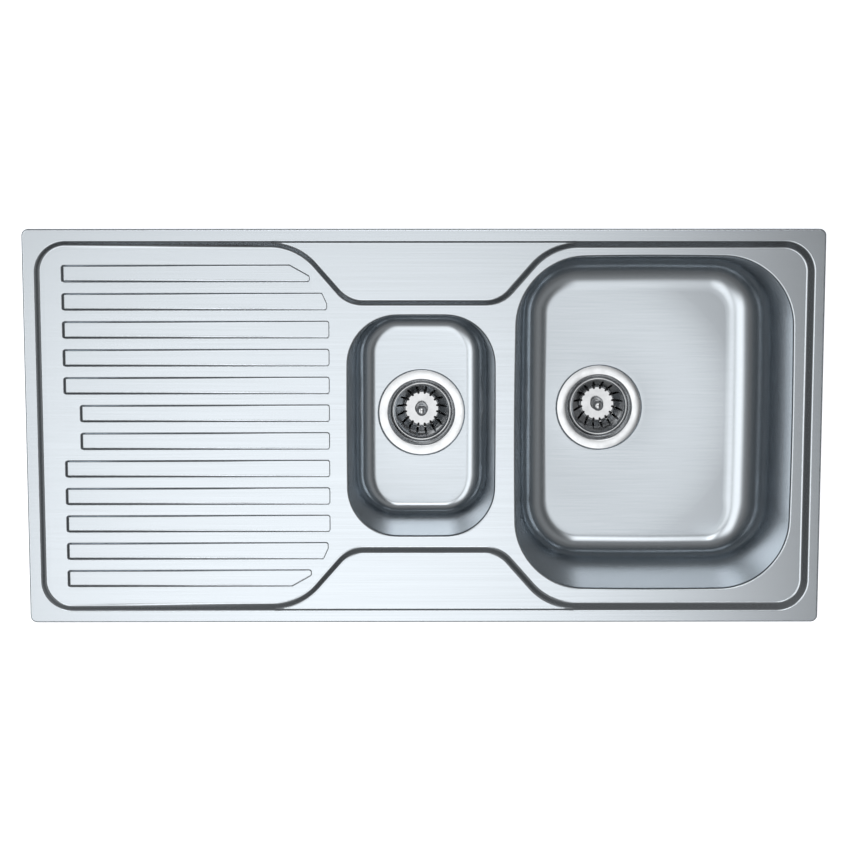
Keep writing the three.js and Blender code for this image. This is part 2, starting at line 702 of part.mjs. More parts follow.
function stopper() {
  const top = BASKET_FLOOR - BASKET_SHEET;
  const bevel = STOPPER / 3;
  return lathe([
    [0, STOPPER_BOTTOM], [STOPPER_RADIUS - bevel, STOPPER_BOTTOM], [STOPPER_RADIUS, STOPPER_BOTTOM + bevel],
    [STOPPER_RADIUS - bevel, top], [0, top],
  ]);
}

function knob() {
  const base = BASKET_FLOOR;
  const top = base + KNOB_HEIGHT;
  const head = top - KNOB_RADIUS;
  return lathe([
    [0, base], [KNOB_RADIUS + 2, base], [KNOB_RADIUS + 1, base + 2], [KNOB_STEM, base + 4],
    [KNOB_STEM, head - 2], [KNOB_RADIUS, head], [KNOB_RADIUS, top - 3], [KNOB_RADIUS - 2.5, top], [0, top],
  ], SLOTS - 2);
}

function waste(prefix, spec) {
  const group = new THREE.Group();
  group.position.set(spec.drainX, spec.drainY, drainFloor(spec) - DRAIN_DEPTH);
  sink.add(group);
  const under = -SHEET;
  add(`${prefix}_waste_flange_cup`, wasteCup(), POLISHED, group);
  add(`${prefix}_waste_top_gasket`, washer(GASKET_INNER, GASKET_OUTER, GASKET, 0), RUBBER, group);
  add(`${prefix}_waste_under_gasket`, washer(GASKET_INNER, GASKET_OUTER, under, BODY_TOP), RUBBER, group);
  add(`${prefix}_waste_body`, wasteBody(), PLASTIC, group);
  add(`${prefix}_waste_screw`, wasteScrew(), ZINC, group);
  add(`${prefix}_basket`, basket(), POLISHED, group);
  add(`${prefix}_basket_stopper`, stopper(), RUBBER, group);
  add(`${prefix}_basket_knob`, knob(), POLISHED, group);
}

waste("main", MAIN);
waste("half", HALF);

// ---- Fixing rails and clips ----

// An L-shaped rail: its web lies under the deck and its leg has a slot for each clip's hook.
// Along is its own X, +Y points outwards, and z = 0 is the deck's underside.
function rail(length, slots) {
  const section = new THREE.Shape([
    [0, 0], [-RAIL_WEB, 0], [-RAIL_WEB, -RAIL_SHEET], [-RAIL_SHEET, -RAIL_SHEET],
    [-RAIL_SHEET, -RAIL_HEIGHT], [0, -RAIL_HEIGHT],
  ].map(([y, z]) => new THREE.Vector2(y, z)));
  const bar = new THREE.ExtrudeGeometry(section, { depth: length, bevelEnabled: false })
    .rotateX(Math.PI / 2).rotateZ(Math.PI / 2).translate(-length / 2, 0, 0);
  return cut(bar, ...slots.map((at) => block(at - SLOT_LENGTH / 2, at + SLOT_LENGTH / 2,
    -2 * RAIL_SHEET, RAIL_SHEET, -SLOT_TOP - SLOT_HEIGHT, -SLOT_TOP)));
}

// Each clip part is placed like the rail: +Y outwards, z = 0 at the deck's underside over it.
const STRAP = GAP;
const SCREW_Y = STRAP + CLIP_SHEET + CLAW_CLEARANCE + CLAW_WIDTH / 2;
const HOOK_TOP = -SLOT_TOP - SLOT_HEIGHT + GAP + CLIP_SHEET;
const LUG_TOP = -CLIP_LENGTH;
const CLAW_TOP = LUG_TOP + COLLAR_HEIGHT + 2 * GAP + CLAW_SHEET + 2;
const COLLAR_TOP = CLAW_TOP - CLAW_SHEET - GAP;

function clipBracket() {
  const t = CLIP_SHEET;
  const behind = -RAIL_SHEET - GAP;
  const reach = SCREW_Y + CLAW_WIDTH / 2;
  const side = new THREE.Shape([
    [STRAP + t, HOOK_TOP], [behind - t, HOOK_TOP], [behind - t, HOOK_TOP - HOOK_DROP],
    [behind, HOOK_TOP - HOOK_DROP], [behind, HOOK_TOP - t], [STRAP, HOOK_TOP - t], [STRAP, LUG_TOP - t],
    [reach, LUG_TOP - t], [reach, LUG_TOP], [STRAP + t, LUG_TOP], [STRAP + t, -GUIDE_DROP - t],
    [reach, -GUIDE_DROP - t], [reach, -GUIDE_DROP], [STRAP + t, -GUIDE_DROP],
  ].map(([y, z]) => new THREE.Vector2(y, z)));
  const strap = new THREE.ExtrudeGeometry(side, { depth: CLIP_WIDTH, bevelEnabled: false })
    .rotateX(Math.PI / 2).rotateZ(Math.PI / 2).translate(-CLIP_WIDTH / 2, 0, 0);
  return cut(strap, bore(CLIP_SCREW, 0, LUG_TOP - OVERCUT).translate(0, SCREW_Y, 0));
}

function clipScrew() {
  const head = LUG_TOP - CLIP_SHEET - DRAW_TRAVEL - GAP;
  const tip = -GUIDE_DROP + GAP;
  return lathe([
    [0, head - CLIP_HEAD_HEIGHT], [CLIP_HEAD, head - CLIP_HEAD_HEIGHT], [CLIP_HEAD, head],
    [CLIP_SCREW, head], [CLIP_SCREW, COLLAR_TOP - COLLAR_HEIGHT], [COLLAR, COLLAR_TOP - COLLAR_HEIGHT],
    [COLLAR, COLLAR_TOP], [CLIP_SCREW, COLLAR_TOP], [CLIP_SCREW, tip], [0, tip],
  ], SMALL_ROUND).translate(0, SCREW_Y, 0);
}

function clipClaw() {
  const bottom = CLAW_TOP - CLAW_SHEET;
  const tooth = CLAW_SHEET / 2;
  const end = CLAW_LENGTH;
  const teeth = [];
  for (let k = 0; k < CLAW_TEETH; k++) {
    const at = end - k * (tooth + 1);
    teeth.push([at, CLAW_TOP + TOOTH], [at - tooth, CLAW_TOP + 1]);
  }
  const side = new THREE.Shape([
    [0, bottom], [end, bottom], ...teeth, [end - CLAW_TEETH * (tooth + 2), CLAW_TOP], [0, CLAW_TOP],
  ].map(([x, z]) => new THREE.Vector2(x, z)));
  const arm = new THREE.ExtrudeGeometry(side, { depth: CLAW_WIDTH, bevelEnabled: false })
    .rotateX(Math.PI / 2).translate(0, SCREW_Y + CLAW_WIDTH / 2, 0);
  const hub = rod(CLAW_WIDTH / 2, CLAW_TOP, bottom, 2 * SMALL_ROUND).translate(0, SCREW_Y, 0);
  const hole = bore(CLIP_SCREW, CLAW_TOP + OVERCUT, bottom - OVERCUT).translate(0, SCREW_Y, 0);
  return cut(join(arm, hub), hole);
}

// A rail and its clips, turned so that its +Y points away from the middle of the sink.
function fixings(name, { x, y, length, turn, tilt = 0, clips }) {
  const group = new THREE.Group();
  const webEdge = x + RAIL_WEB * Math.sin(turn);
  group.position.set(x, y, floorAt({ x: webEdge }) - SHEET);
  group.rotation.z = turn;
  sink.add(group);
  const bar = add(`rail_${name}`, rail(length, clips), ZINC, group);
  bar.rotation.y = tilt;
  bar.position.z = tilt ? -GAP : 0;
  clips.forEach((at, i) => {
    const clip = clips.length > 1 ? `clip_${name}_${i + 1}` : `clip_${name}`;
    const holder = new THREE.Group();
    holder.position.set(at, 0, 0);
    group.add(holder);
    add(`${clip}_bracket`, clipBracket(), ZINC, holder);
    add(`${clip}_screw`, clipScrew(), ZINC, holder);
    add(`${clip}_claw`, clipClaw(), ZINC, holder);
  });
}

const RAIL_Y = RECESS_SIDE - RAIL_INSET;
const drainerTilt = Math.atan(drainerFall);
const drainerRail = between(RECESS_LEFT + RAIL_START_GAP, LEDGE_MIDDLE - LEDGE_REACH - DRAINER_RAIL_GAP);
const bowlRail = between(LEDGE_MIDDLE + LEDGE_REACH + BOWL_RAIL_GAP, RECESS_RIGHT - BOWL_RAIL_END_GAP);
const endLength = 2 * (RECESS_SIDE - RAIL_START_GAP);
const endClip = endLength / 2 - CLIP_END_GAP;
const endRail = { y: 0, length: endLength, clips: [-endClip, endClip] };

function between(left, right) {
  return { x: (left + right) / 2, length: right - left, clips: [0] };
}

fixings("back_drainer", { ...drainerRail, y: RAIL_Y, turn: 0, tilt: drainerTilt });
fixings("back_bowl", { ...bowlRail, y: RAIL_Y, turn: 0 });
fixings("front_drainer", { ...drainerRail, y: -RAIL_Y, turn: Math.PI, tilt: -drainerTilt });
fixings("front_bowl", { ...bowlRail, y: -RAIL_Y, turn: Math.PI });
fixings("left", { ...endRail, x: RECESS_LEFT + RAIL_INSET, turn: Math.PI / 2 });
fixings("right", { ...endRail, x: RECESS_RIGHT - RAIL_INSET, turn: -Math.PI / 2 });

export default sink;
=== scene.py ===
import math

import bpy
import numpy as np
from mathutils import Matrix, Vector
from mathutils.geometry import delaunay_2d_cdt


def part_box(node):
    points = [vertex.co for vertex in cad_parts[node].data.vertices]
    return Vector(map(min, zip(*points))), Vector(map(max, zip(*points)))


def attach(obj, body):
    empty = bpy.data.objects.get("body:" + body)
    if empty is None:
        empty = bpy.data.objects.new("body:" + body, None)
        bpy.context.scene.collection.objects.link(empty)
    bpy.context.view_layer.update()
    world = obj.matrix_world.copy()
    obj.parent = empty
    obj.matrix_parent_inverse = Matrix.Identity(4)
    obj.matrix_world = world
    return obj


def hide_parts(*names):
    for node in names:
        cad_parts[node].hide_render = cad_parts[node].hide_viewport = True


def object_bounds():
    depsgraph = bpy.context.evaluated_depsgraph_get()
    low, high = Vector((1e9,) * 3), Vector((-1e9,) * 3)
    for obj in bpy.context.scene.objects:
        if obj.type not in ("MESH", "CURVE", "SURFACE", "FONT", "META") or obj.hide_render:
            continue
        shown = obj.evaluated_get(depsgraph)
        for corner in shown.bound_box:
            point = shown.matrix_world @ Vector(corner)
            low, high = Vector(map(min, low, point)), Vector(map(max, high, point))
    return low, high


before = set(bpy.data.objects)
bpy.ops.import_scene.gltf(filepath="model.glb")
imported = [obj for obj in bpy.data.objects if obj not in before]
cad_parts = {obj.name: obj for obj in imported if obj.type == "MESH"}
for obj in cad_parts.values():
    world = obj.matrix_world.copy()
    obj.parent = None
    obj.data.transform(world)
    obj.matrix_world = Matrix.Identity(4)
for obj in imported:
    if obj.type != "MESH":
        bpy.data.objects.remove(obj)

CAD_LOW, CAD_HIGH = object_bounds()
MM = 0.001

# ---- The pressed deck ----
LENGTH = (CAD_HIGH.x - CAD_LOW.x) / MM
WIDTH = (CAD_HIGH.y - CAD_LOW.y) / MM
FRAME_TOP = CAD_HIGH.z / MM
SHEET = 0.8
CORNER_RADIUS = 9
EDGE_RADIUS = 2.5
SKIRT_BOTTOM = 0.3
FRAME_LEFT = 14.5
FRAME_RIGHT = 12.5
FRAME_SIDE = 14.5
RECESS_CORNER = 40
RECESS_DEPTH = 7.5
RECESS_DEPTH_LEFT = 4.2
DRAINER_END = -115
DRAINER_BLEND = 24
WALL_SHOULDER = 3.5
WALL_FOOT = 4
WALL_ANGLE = math.radians(42)
LEDGE_DROP = 1.8
LEDGE_WIDTH = 72
LEDGE_HALF_INNER = 92
LEDGE_HALF_OUTER = 155
LEDGE_OUTER_FILLET = 80
LEDGE_INNER_FILLET = 34
LEDGE_EDGE_GAP = 0.5
LEDGE_RADIUS = 2

# ---- The drainer grooves ----
GROOVES = 12
GROOVE_PITCH = 35.2
GROOVE_WIDTH = 23.4
GROOVE_LEFT = -452.5
GROOVE_LEFT_SHORT = -432.5
GROOVE_RIGHT = -118
GROOVE_CORNER = 4.2
GROOVE_DEPTH_LEFT = 2.4
GROOVE_DEPTH_RIGHT = 0.9
GROOVE_RADIUS = 1.8
GROOVE_ANGLE = math.radians(44)
GROOVE_TRIMS = [(24, 25.5), (2.5, 6.5)]
CHAMFER_WIDTH = 14.5

# ---- The bowls ----
MAIN_BOWL = {
    "name": "main", "x": 289, "y": 3.8, "length": 346.5, "width": 422, "corner": 86, "bow": 3,
    "depth": 160, "left": 34, "right": 50, "front": 27, "back": 44, "draft": math.radians(5),
}
HALF_BOWL = {
    "name": "half", "x": -3.4, "y": 0.8, "length": 187, "width": 283, "corner": 63, "bow": 1,
    "depth": 120, "left": 25, "right": 27, "front": 14, "back": 24, "draft": math.radians(4),
}
BOWL_SHOULDER = 3
FALL_REACH = 130
FALL_FADE = 8

# ---- The drain recess and the basket strainer waste, measured from the recess's floor ----
DRAIN_RADIUS = 57.5
DRAIN_DEPTH = 4
DRAIN_BEND = 1.2
DRAIN_ANGLE = math.radians(70)
DRAIN_HOLE = 45
GASKET = 1.8
FLANGE_RADIUS = 55.9
MOUTH_RADIUS = 43
CUP_SHEET = 1
SEAT_DEPTH = 13
SEAT_EDGE = 39.1
SEAT_RADIUS = 35
CUP_DEPTH = 43
CUP_FLOOR_RADIUS = 28
DIMPLE_RADIUS = 8.5
DIMPLE_DEPTH = 4
CUP_HOLES = 6
CUP_HOLE_RADIUS = 4.5
CUP_HOLE_CIRCLE = 18
SCREW_HOLE = 3.1
BASKET_SHEET = 0.8
BASKET_RIM = 38.5
BASKET_TOP_RADIUS = 35.2
BASKET_FLOOR_RADIUS = 23.5
BASKET_BENDS = [BASKET_FLOOR_RADIUS - BASKET_SHEET, BASKET_TOP_RADIUS, BASKET_RIM - 2]
BASKET_BEND_REACH = 2
BASKET_RINGS = [5, 12, 25, 28]
SLOTS = 16
SLOT_WIDTH = 3
SLOT_INNER = BASKET_FLOOR_RADIUS - 4
SLOT_OUTER = BASKET_TOP_RADIUS - 2
STOPPER = 3
STOPPER_RADIUS = 25
KNOB_RADIUS = 7
KNOB_STEM = 3.6
KNOB_HEIGHT = 29
GAP = 0.3

# ---- Fineness: turns from point to point, numbers of points, and gaps in millimetres ----
FINE = math.radians(4)
GROOVE_FINE = 3 * FINE
SLOT_FINE = math.radians(15)
TURNED_FINE = math.radians(8)
CUP_FINE = math.radians(12)
BASKET_FINE = math.radians(6)
SHARP = math.radians(35)
ROUND = 128
KNOB_ROUND = 64
DRILL_ROUND = 32
BEND_POINTS = 9
SKIRT_POINTS = 3
FLOOR_RINGS = 24
BOWL_WALL_STEPS = (8, 8, 16)
DRAIN_WALL_STEPS = (5, 2, 5)
RING_STEP = 0.45
GROOVE_RING_STEP = RING_STEP / 1.5
BOWL_RIM_STEP = 8
PROBE = 0.02
SHORTEST = 0.01
RING_GAP = 0.1
MERGE = 1e-5
MERGE_DIGITS = 4
TINY = 1e-12

FLOOR_Z = FRAME_TOP - RECESS_DEPTH
RECESS_LEFT = -LENGTH / 2 + FRAME_LEFT
RECESS_RIGHT = LENGTH / 2 - FRAME_RIGHT
RECESS_SIDE = WIDTH / 2 - FRAME_SIDE
LEDGE_TOP = FRAME_TOP - LEDGE_DROP
FLANGE_TOP = GASKET + CUP_SHEET
SEAT_Z = FLANGE_TOP - SEAT_DEPTH
CUP_FLOOR = FLANGE_TOP - CUP_DEPTH
BASKET_FLOOR = CUP_FLOOR + GAP + STOPPER + BASKET_SHEET


# ---- Outlines ----

def corner_arc(before, corner, after, radius):
    """Centre, radius, first angle and turn of a corner's arc, which turns left where turn > 0."""
    corner = Vector(corner)
    back = (Vector(before) - corner).normalized()
    ahead = (Vector(after) - corner).normalized()
    opening = back.angle(ahead)
    centre = corner + (back + ahead).normalized() * (radius / math.sin(opening / 2))
    start = corner + back * (radius / math.tan(opening / 2)) - centre
    turn = math.copysign(math.pi - opening, back.y * ahead.x - back.x * ahead.y)
    if radius:
        angle = math.atan2(start.y, start.x)
    else:
        angle = math.atan2(-back.y, -back.x) - turn / abs(turn) * math.pi / 2
    return np.array(centre), radius, angle, turn


def arc_points(centre, radius, start, turn, step=FINE):
    steps = max(1, round(abs(turn) / step)) if radius else 0
    angles = start + turn * np.arange(steps + 1) / max(1, steps)
    return [centre + radius * np.array((math.cos(a), math.sin(a))) for a in angles]


class Outline:
    """A counterclockwise polygon whose corners (x, y, radius) are rounded off by tangent arcs."""

    def __init__(self, corners):
        following = corners[1:] + corners[:1]
        previous = corners[-1:] + corners[:-1]
        self.arcs = [corner_arc(before[:2], corner[:2], after[:2], corner[2])
                     for before, corner, after in zip(previous, corners, following)]

    def ring(self, inset=0.0, step=FINE):
        """The points of the outline moved inwards by that much."""
        points = []
        for centre, radius, start, turn in self.arcs:
            points += arc_points(centre, radius - math.copysign(inset, turn), start, turn, step)
        return points

    def depth(self, points):
        """How far inside the outline each point is; negative outside."""
        best = np.full(len(points), np.inf)
        ends = [(arc_points(*arc)[0], arc_points(*arc)[-1]) for arc in self.arcs]
        for i, (centre, radius, start, turn) in enumerate(self.arcs):
            side = math.copysign(1, turn)
            away = points - centre
            swept = np.mod((np.arctan2(away[:, 1], away[:, 0]) - start) * side, 2 * math.pi)
            value = side * (radius - np.hypot(away[:, 0], away[:, 1]))
            best = closer(best, np.where(swept <= abs(turn), value, np.inf))
            begin, finish = ends[i][1], ends[(i + 1) % len(ends)][0]
            length = np.hypot(*(finish - begin))
            along = (finish - begin) / length
            offset = points - begin
            travel = np.clip(offset @ along, 0, length)
            across = along[0] * offset[:, 1] - along[1] * offset[:, 0]
            distance = np.hypot(offset[:, 0] - travel * along[0], offset[:, 1] - travel * along[1])
            best = closer(best, np.copysign(distance, across))
        return best


def closer(best, value):
    return np.where(np.abs(value) < np.abs(best), value, best)


def rectangle(left, right, front, back, radius):
    corners = [(right, front), (right, back), (left, back), (left, front)]
    return [(x, y, radius) for x, y in corners]


def circle(radius, count=ROUND):
    angles = 2 * math.pi * np.arange(count) / count
    return [np.array((radius * math.cos(a), radius * math.sin(a))) for a in angles]


def bent(corners, step=TURNED_FINE):
    """An open path through (r, z, radius) corners, the inner ones rounded off."""
    path = [np.array(corners[0][:2])]
    for before, corner, after in zip(corners, corners[1:], corners[2:]):
        path += arc_points(*corner_arc(before[:2], corner[:2], after[:2], corner[2]), step)
    return path + [np.array(corners[-1][:2])]


# ---- Profiles ----

def raised(flat, height):
    """The (x, y) rows with that height, one for all or one for each, as a third column."""
    return np.column_stack((flat, np.full(len(flat), height)))


def smooth_min(a, b, width):
    near = np.clip(width - np.abs(a - b), 0, None)
    return np.minimum(a, b) - near ** 2 / (4 * width)


def smooth_max(a, b, width):
    return -smooth_min(-a, -b, width)


def bend_reach(radius, angle):
    """How far from the start of a bend its two tangents cross."""
    return radius * math.tan(angle / 2)


def pressed(inside, depth, shoulder, foot, angle):
    """How far down a pressed wall is at each distance inside its outline."""
    bend = np.minimum(angle, np.arccos(np.maximum(-1, 1 - depth / (shoulder + foot))))
    flank = np.maximum(0, (depth - (shoulder + foot) * (1 - np.cos(bend))) / np.sin(bend))
    run = (shoulder + foot) * np.sin(bend) + flank * np.cos(bend)
    left = np.clip(run - inside, 0, None)
    inside = np.clip(inside, 0, None)
    upper = shoulder - np.sqrt(np.clip(shoulder ** 2 - inside ** 2, 0, None))
    lower = depth - foot + np.sqrt(np.clip(foot ** 2 - left ** 2, 0, None))
    middle = shoulder * (1 - np.cos(bend)) + (inside - shoulder * np.sin(bend)) * np.tan(bend)
    drop = np.where(inside < shoulder * np.sin(bend), upper, middle)
    return np.where(left < foot * np.sin(bend), lower, drop)


# ---- Surfaces: points, their normals and faces, before they become meshes ----

class Surface:
    def __init__(self, points, normals, faces):
        self.points = np.asarray(points, float)
        self.normals = np.asarray(normals, float)
        self.faces = [tuple(int(i) for i in face) for face in faces]

    def plus(self, other):
        """Both surfaces as one, with the points that they share merged."""
        own, others = (np.round(each.points, MERGE_DIGITS).tolist() for each in (self, other))
        keys = {tuple(key): i for i, key in enumerate(own)}
        points, normals, merged = list(self.points), list(self.normals), []
        for point, normal, key in zip(other.points, other.normals, others):
            if tuple(key) not in keys:
                keys[tuple(key)] = len(points)
                points.append(point)
                normals.append(normal)
            merged.append(keys[tuple(key)])
        faces = [tuple(merged[i] for i in face) for face in other.faces]
        return Surface(points, normals, self.faces + faces)


def plan(height, loops, lines, holds):
    """The surface z = height(points) where holds(points), with edges along the loops and lines."""
    corners, edges = [], []
    for points in loops:
        first, count = len(corners), len(points)
        corners += points
        edges += [(first + i, first + (i + 1) % count) for i in range(count)]
    for points in lines:
        first = len(corners)
        corners += points
        edges += [(first + i, first + i + 1) for i in range(len(points) - 1)]
    result = delaunay_2d_cdt([Vector(p) for p in corners], edges, [], 0, MERGE)
    flat = np.array([tuple(p) for p in result[0]])
    faces = np.array([tuple(f) for f in result[2]])
    faces = faces[holds(flat[faces].mean(axis=1))]
    used = np.unique(faces)
    kept = np.zeros(len(flat), int)
    kept[used] = np.arange(len(used))
    flat, faces = flat[used], kept[faces]
    slope = [(height(flat + step) - height(flat - step)) / (2 * PROBE)
             for step in (np.array((PROBE, 0)), np.array((0, PROBE)))]
    normals = np.column_stack((-slope[0], -slope[1], np.ones(len(flat))))
    normals /= np.linalg.norm(normals, axis=1)[:, None]
    return Surface(np.column_stack((flat, height(flat))), normals, faces)


def bands(rings):
    """Quads between rings of points, listed from the middle outwards or from the top down."""
    count = len(rings[0])
    grid = np.array([[tuple(p) for p in ring] for ring in rings], float)
    faces = []
    for row in range(len(rings) - 1):
        for i in range(count):
            a, b = row * count + i, row * count + (i + 1) % count
            faces.append((a, a + count, b + count, b))
    down = np.gradient(grid, axis=0)
    along = np.roll(grid, -1, axis=1) - np.roll(grid, 1, axis=1)
    normals = np.cross(down, along)
    normals /= np.maximum(TINY, np.linalg.norm(normals, axis=2))[:, :, None]
    return Surface(grid.reshape(-1, 3), normals.reshape(-1, 3), faces)


def sheet_mesh(name, surface, thickness, at=(0, 0, 0)):
    """A closed sheet of that thickness under a surface, shaded with the surface's own normals."""
    points, normals, faces = surface.points, surface.normals, surface.faces
    count = len(points)
    used = {(a, b) for face in faces for a, b in zip(face, face[1:] + face[:1])}
    rim = [(b, a, a + count, b + count) for a, b in used if (b, a) not in used]
    rim.sort()
    under = [tuple(i + count for i in reversed(face)) for face in faces]
    points = np.vstack((points, points - thickness * normals)) + np.array(at)
    mesh = bpy.data.meshes.new(name)
    mesh.from_pydata((points * MM).tolist(), [], faces + under + rim)
    shades = [normals[i] for face in faces for i in face]
    shades += [-normals[i - count] for face in under for i in face]
    for a, b, c, _ in rim:
        across = np.cross(points[b] - points[a], points[c] - points[a])
        shades += [across / max(TINY, np.linalg.norm(across))] * 4
    mesh.polygons.foreach_set("use_smooth", [True] * len(mesh.polygons))
    mesh.normals_split_custom_set([tuple(n) for n in shades])
    return place(name, mesh)


def turned_mesh(name, profile, at=(0, 0, 0), count=ROUND):
    """A solid of revolution, whose (r, z) profile runs up the outside or closes on itself."""
    rings, verts, faces = [], [], []
    for r, z in profile:
        ring = circle(r, count if r > MERGE else 1)
        rings.append(range(len(verts), len(verts) + len(ring)))
        verts += [np.array((x, y, z)) + np.array(at) for x, y in ring]
    closed = profile[0][0] > MERGE and profile[-1][0] > MERGE
    for lower, upper in zip(rings, rings[1:] + rings[:1] if closed else rings[1:]):
        for i in range(count):
            j = (i + 1) % count
            face = [lower[i % len(lower)], lower[j % len(lower)]]
            face += [upper[j % len(upper)], upper[i % len(upper)]]
            faces.append(tuple(dict.fromkeys(face)))
    mesh = bpy.data.meshes.new(name)
    mesh.from_pydata((np.array(verts) * MM).tolist(), [], [face for face in faces if len(face) > 2])
    mesh.polygons.foreach_set("use_smooth", [True] * len(mesh.polygons))
    mesh.set_sharp_from_angle(angle=SHARP)
    return place(name, mesh)


def place(name, mesh):
    """An object with that mesh, linked to the scene."""
    piece = bpy.data.objects.new(name, mesh)
    bpy.context.scene.collection.objects.link(piece)
    return piece


def dress(piece, material, slot, body, *nodes):
    """Gives a piece its finish, hangs it on the body that carries it and hides the nodes it
    replaces. The slot, which says what the piece is, is not used.
    """
    piece.data.materials.clear()
    piece.data.materials.append(material)
    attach(piece, body)
    if nodes:
        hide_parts(*nodes)
    return piece


# ---- Deck ----

def recess_outline():
    edge, inner = RECESS_SIDE, RECESS_SIDE - LEDGE_WIDTH
    ledge = [
        (LEDGE_HALF_OUTER, edge, LEDGE_OUTER_FILLET),
        (LEDGE_HALF_INNER, inner, LEDGE_INNER_FILLET),
        (-LEDGE_HALF_INNER, inner, LEDGE_INNER_FILLET),
        (-LEDGE_HALF_OUTER, edge, LEDGE_OUTER_FILLET),
    ]
    front = [(-x, -y, radius) for x, y, radius in ledge]
    left = [(RECESS_LEFT, edge, RECESS_CORNER), (RECESS_LEFT, -edge, RECESS_CORNER)]
    right = [(RECESS_RIGHT, -edge, RECESS_CORNER), (RECESS_RIGHT, edge, RECESS_CORNER)]
    return Outline([left[1]] + front + right + ledge + [left[0]])


def ledge_outline(side):
    """The front or back ledge, which the recess's outline cuts off at its S-curved ends."""
    bend = math.atan2(LEDGE_WIDTH, LEDGE_HALF_OUTER - LEDGE_HALF_INNER)
    reach = LEDGE_HALF_OUTER + bend_reach(LEDGE_OUTER_FILLET, bend)
    near, far = side * (RECESS_SIDE - 2 * LEDGE_WIDTH), side * (RECESS_SIDE - LEDGE_EDGE_GAP)
    return Outline(rectangle(-reach, reach, min(near, far), max(near, far), WALL_SHOULDER))


def groove_outline(index):
    """A drainer groove, counted from the back; the outermost ones have chamfered ends."""
    middle = (GROOVES - 1) / 2
    y = (middle - index) * GROOVE_PITCH
    side = math.copysign(1, y)
    from_edge = min(index, GROOVES - 1 - index)
    left = GROOVE_LEFT_SHORT if abs(index - middle) < 1 else GROOVE_LEFT
    inner, outer = y - side * GROOVE_WIDTH / 2, y + side * GROOVE_WIDTH / 2
    trim, chamfer = GROOVE_TRIMS[from_edge] if from_edge < len(GROOVE_TRIMS) else (0, 0)
    right = GROOVE_RIGHT - trim
    end = [(right, outer, GROOVE_CORNER)]
    if chamfer:
        end = [(right, outer - side * CHAMFER_WIDTH, GROOVE_CORNER),
               (right - chamfer, outer, GROOVE_CORNER)]
    corners = [(left, inner, GROOVE_CORNER), (right, inner, GROOVE_CORNER)] + end
    corners.append((left, outer, GROOVE_CORNER))
    return Outline(corners if side > 0 else corners[::-1])


RECESS = recess_outline()
LEDGES = [ledge_outline(1), ledge_outline(-1)]
DRAINER_GROOVES = [groove_outline(index) for index in range(GROOVES)]


def floor_height(x):
    """The recess's floor, which falls along the drainer to the bowls."""
    fall = (RECESS_DEPTH - RECESS_DEPTH_LEFT) / (DRAINER_END - RECESS_LEFT)
    return FLOOR_Z + fall * smooth_max(DRAINER_END - x, 0, DRAINER_BLEND)


def groove_depth(x):
    share = (x - GROOVE_LEFT) / (GROOVE_RIGHT - GROOVE_LEFT)
    return GROOVE_DEPTH_LEFT + (GROOVE_DEPTH_RIGHT - GROOVE_DEPTH_LEFT) * share


def deck_height(points):
    rise = math.tan(WALL_ANGLE)
    ledge_bend = bend_reach(LEDGE_RADIUS, WALL_ANGLE)
    shoulder = bend_reach(WALL_SHOULDER, WALL_ANGLE)
    foot = bend_reach(WALL_FOOT, WALL_ANGLE)
    inside = np.maximum(*[ledge.depth(points) for ledge in LEDGES])
    step = FRAME_TOP - (inside - ledge_bend) * rise
    top = smooth_max(smooth_min(step, FRAME_TOP, ledge_bend * rise), LEDGE_TOP, ledge_bend * rise)
    wall = FRAME_TOP - (RECESS.depth(points) - shoulder) * rise
    height = smooth_min(wall, top, shoulder * rise)
    height = smooth_max(height, floor_height(points[:, 0]), foot * rise)
    for groove in DRAINER_GROOVES:
        inside = groove.depth(points)
        held = inside > 0
        depth = groove_depth(points[held, 0])
        height[held] -= pressed(inside[held], depth, GROOVE_RADIUS, GROOVE_RADIUS, GROOVE_ANGLE)
    return height


def bowl_outline(spec):
    """The points of a bowl's rim, whose sides are bowed a little, and their outward normals."""
    half_length, half_width = spec["length"] / 2, spec["width"] / 2
    box = Outline(rectangle(-half_length, half_length, -half_width, half_width, spec["corner"]))
    ring = box.ring()
    points = []
    for here, ahead in zip(ring, ring[1:] + ring[:1]):
        parts = max(1, round(np.hypot(*(ahead - here)) / BOWL_RIM_STEP))
        points += [here + (ahead - here) * k / parts for k in range(parts)]
    points = np.array(points)
    across, along = points[:, 0] / half_length, points[:, 1] / half_width
    points[:, 0] += spec["bow"] * (1 - along ** 2) * across
    points[:, 1] += spec["bow"] * (1 - across ** 2) * along
    tangent = np.roll(points, -1, axis=0) - np.roll(points, 1, axis=0)
    normals = np.column_stack((tangent[:, 1], -tangent[:, 0]))
    normals /= np.linalg.norm(normals, axis=1)[:, None]
    return points + np.array((spec["x"], spec["y"])), normals


def inside_polygon(polygon, points):
    x, y = points[:, 0], points[:, 1]
    crossed = np.zeros(len(points), bool)
    for (x0, y0), (x1, y1) in zip(polygon, np.roll(polygon, -1, axis=0)):
        if y0 != y1:
            crossed ^= ((y0 > y) != (y1 > y)) & (x < (x1 - x0) * (y - y0) / (y1 - y0) + x0)
    return crossed


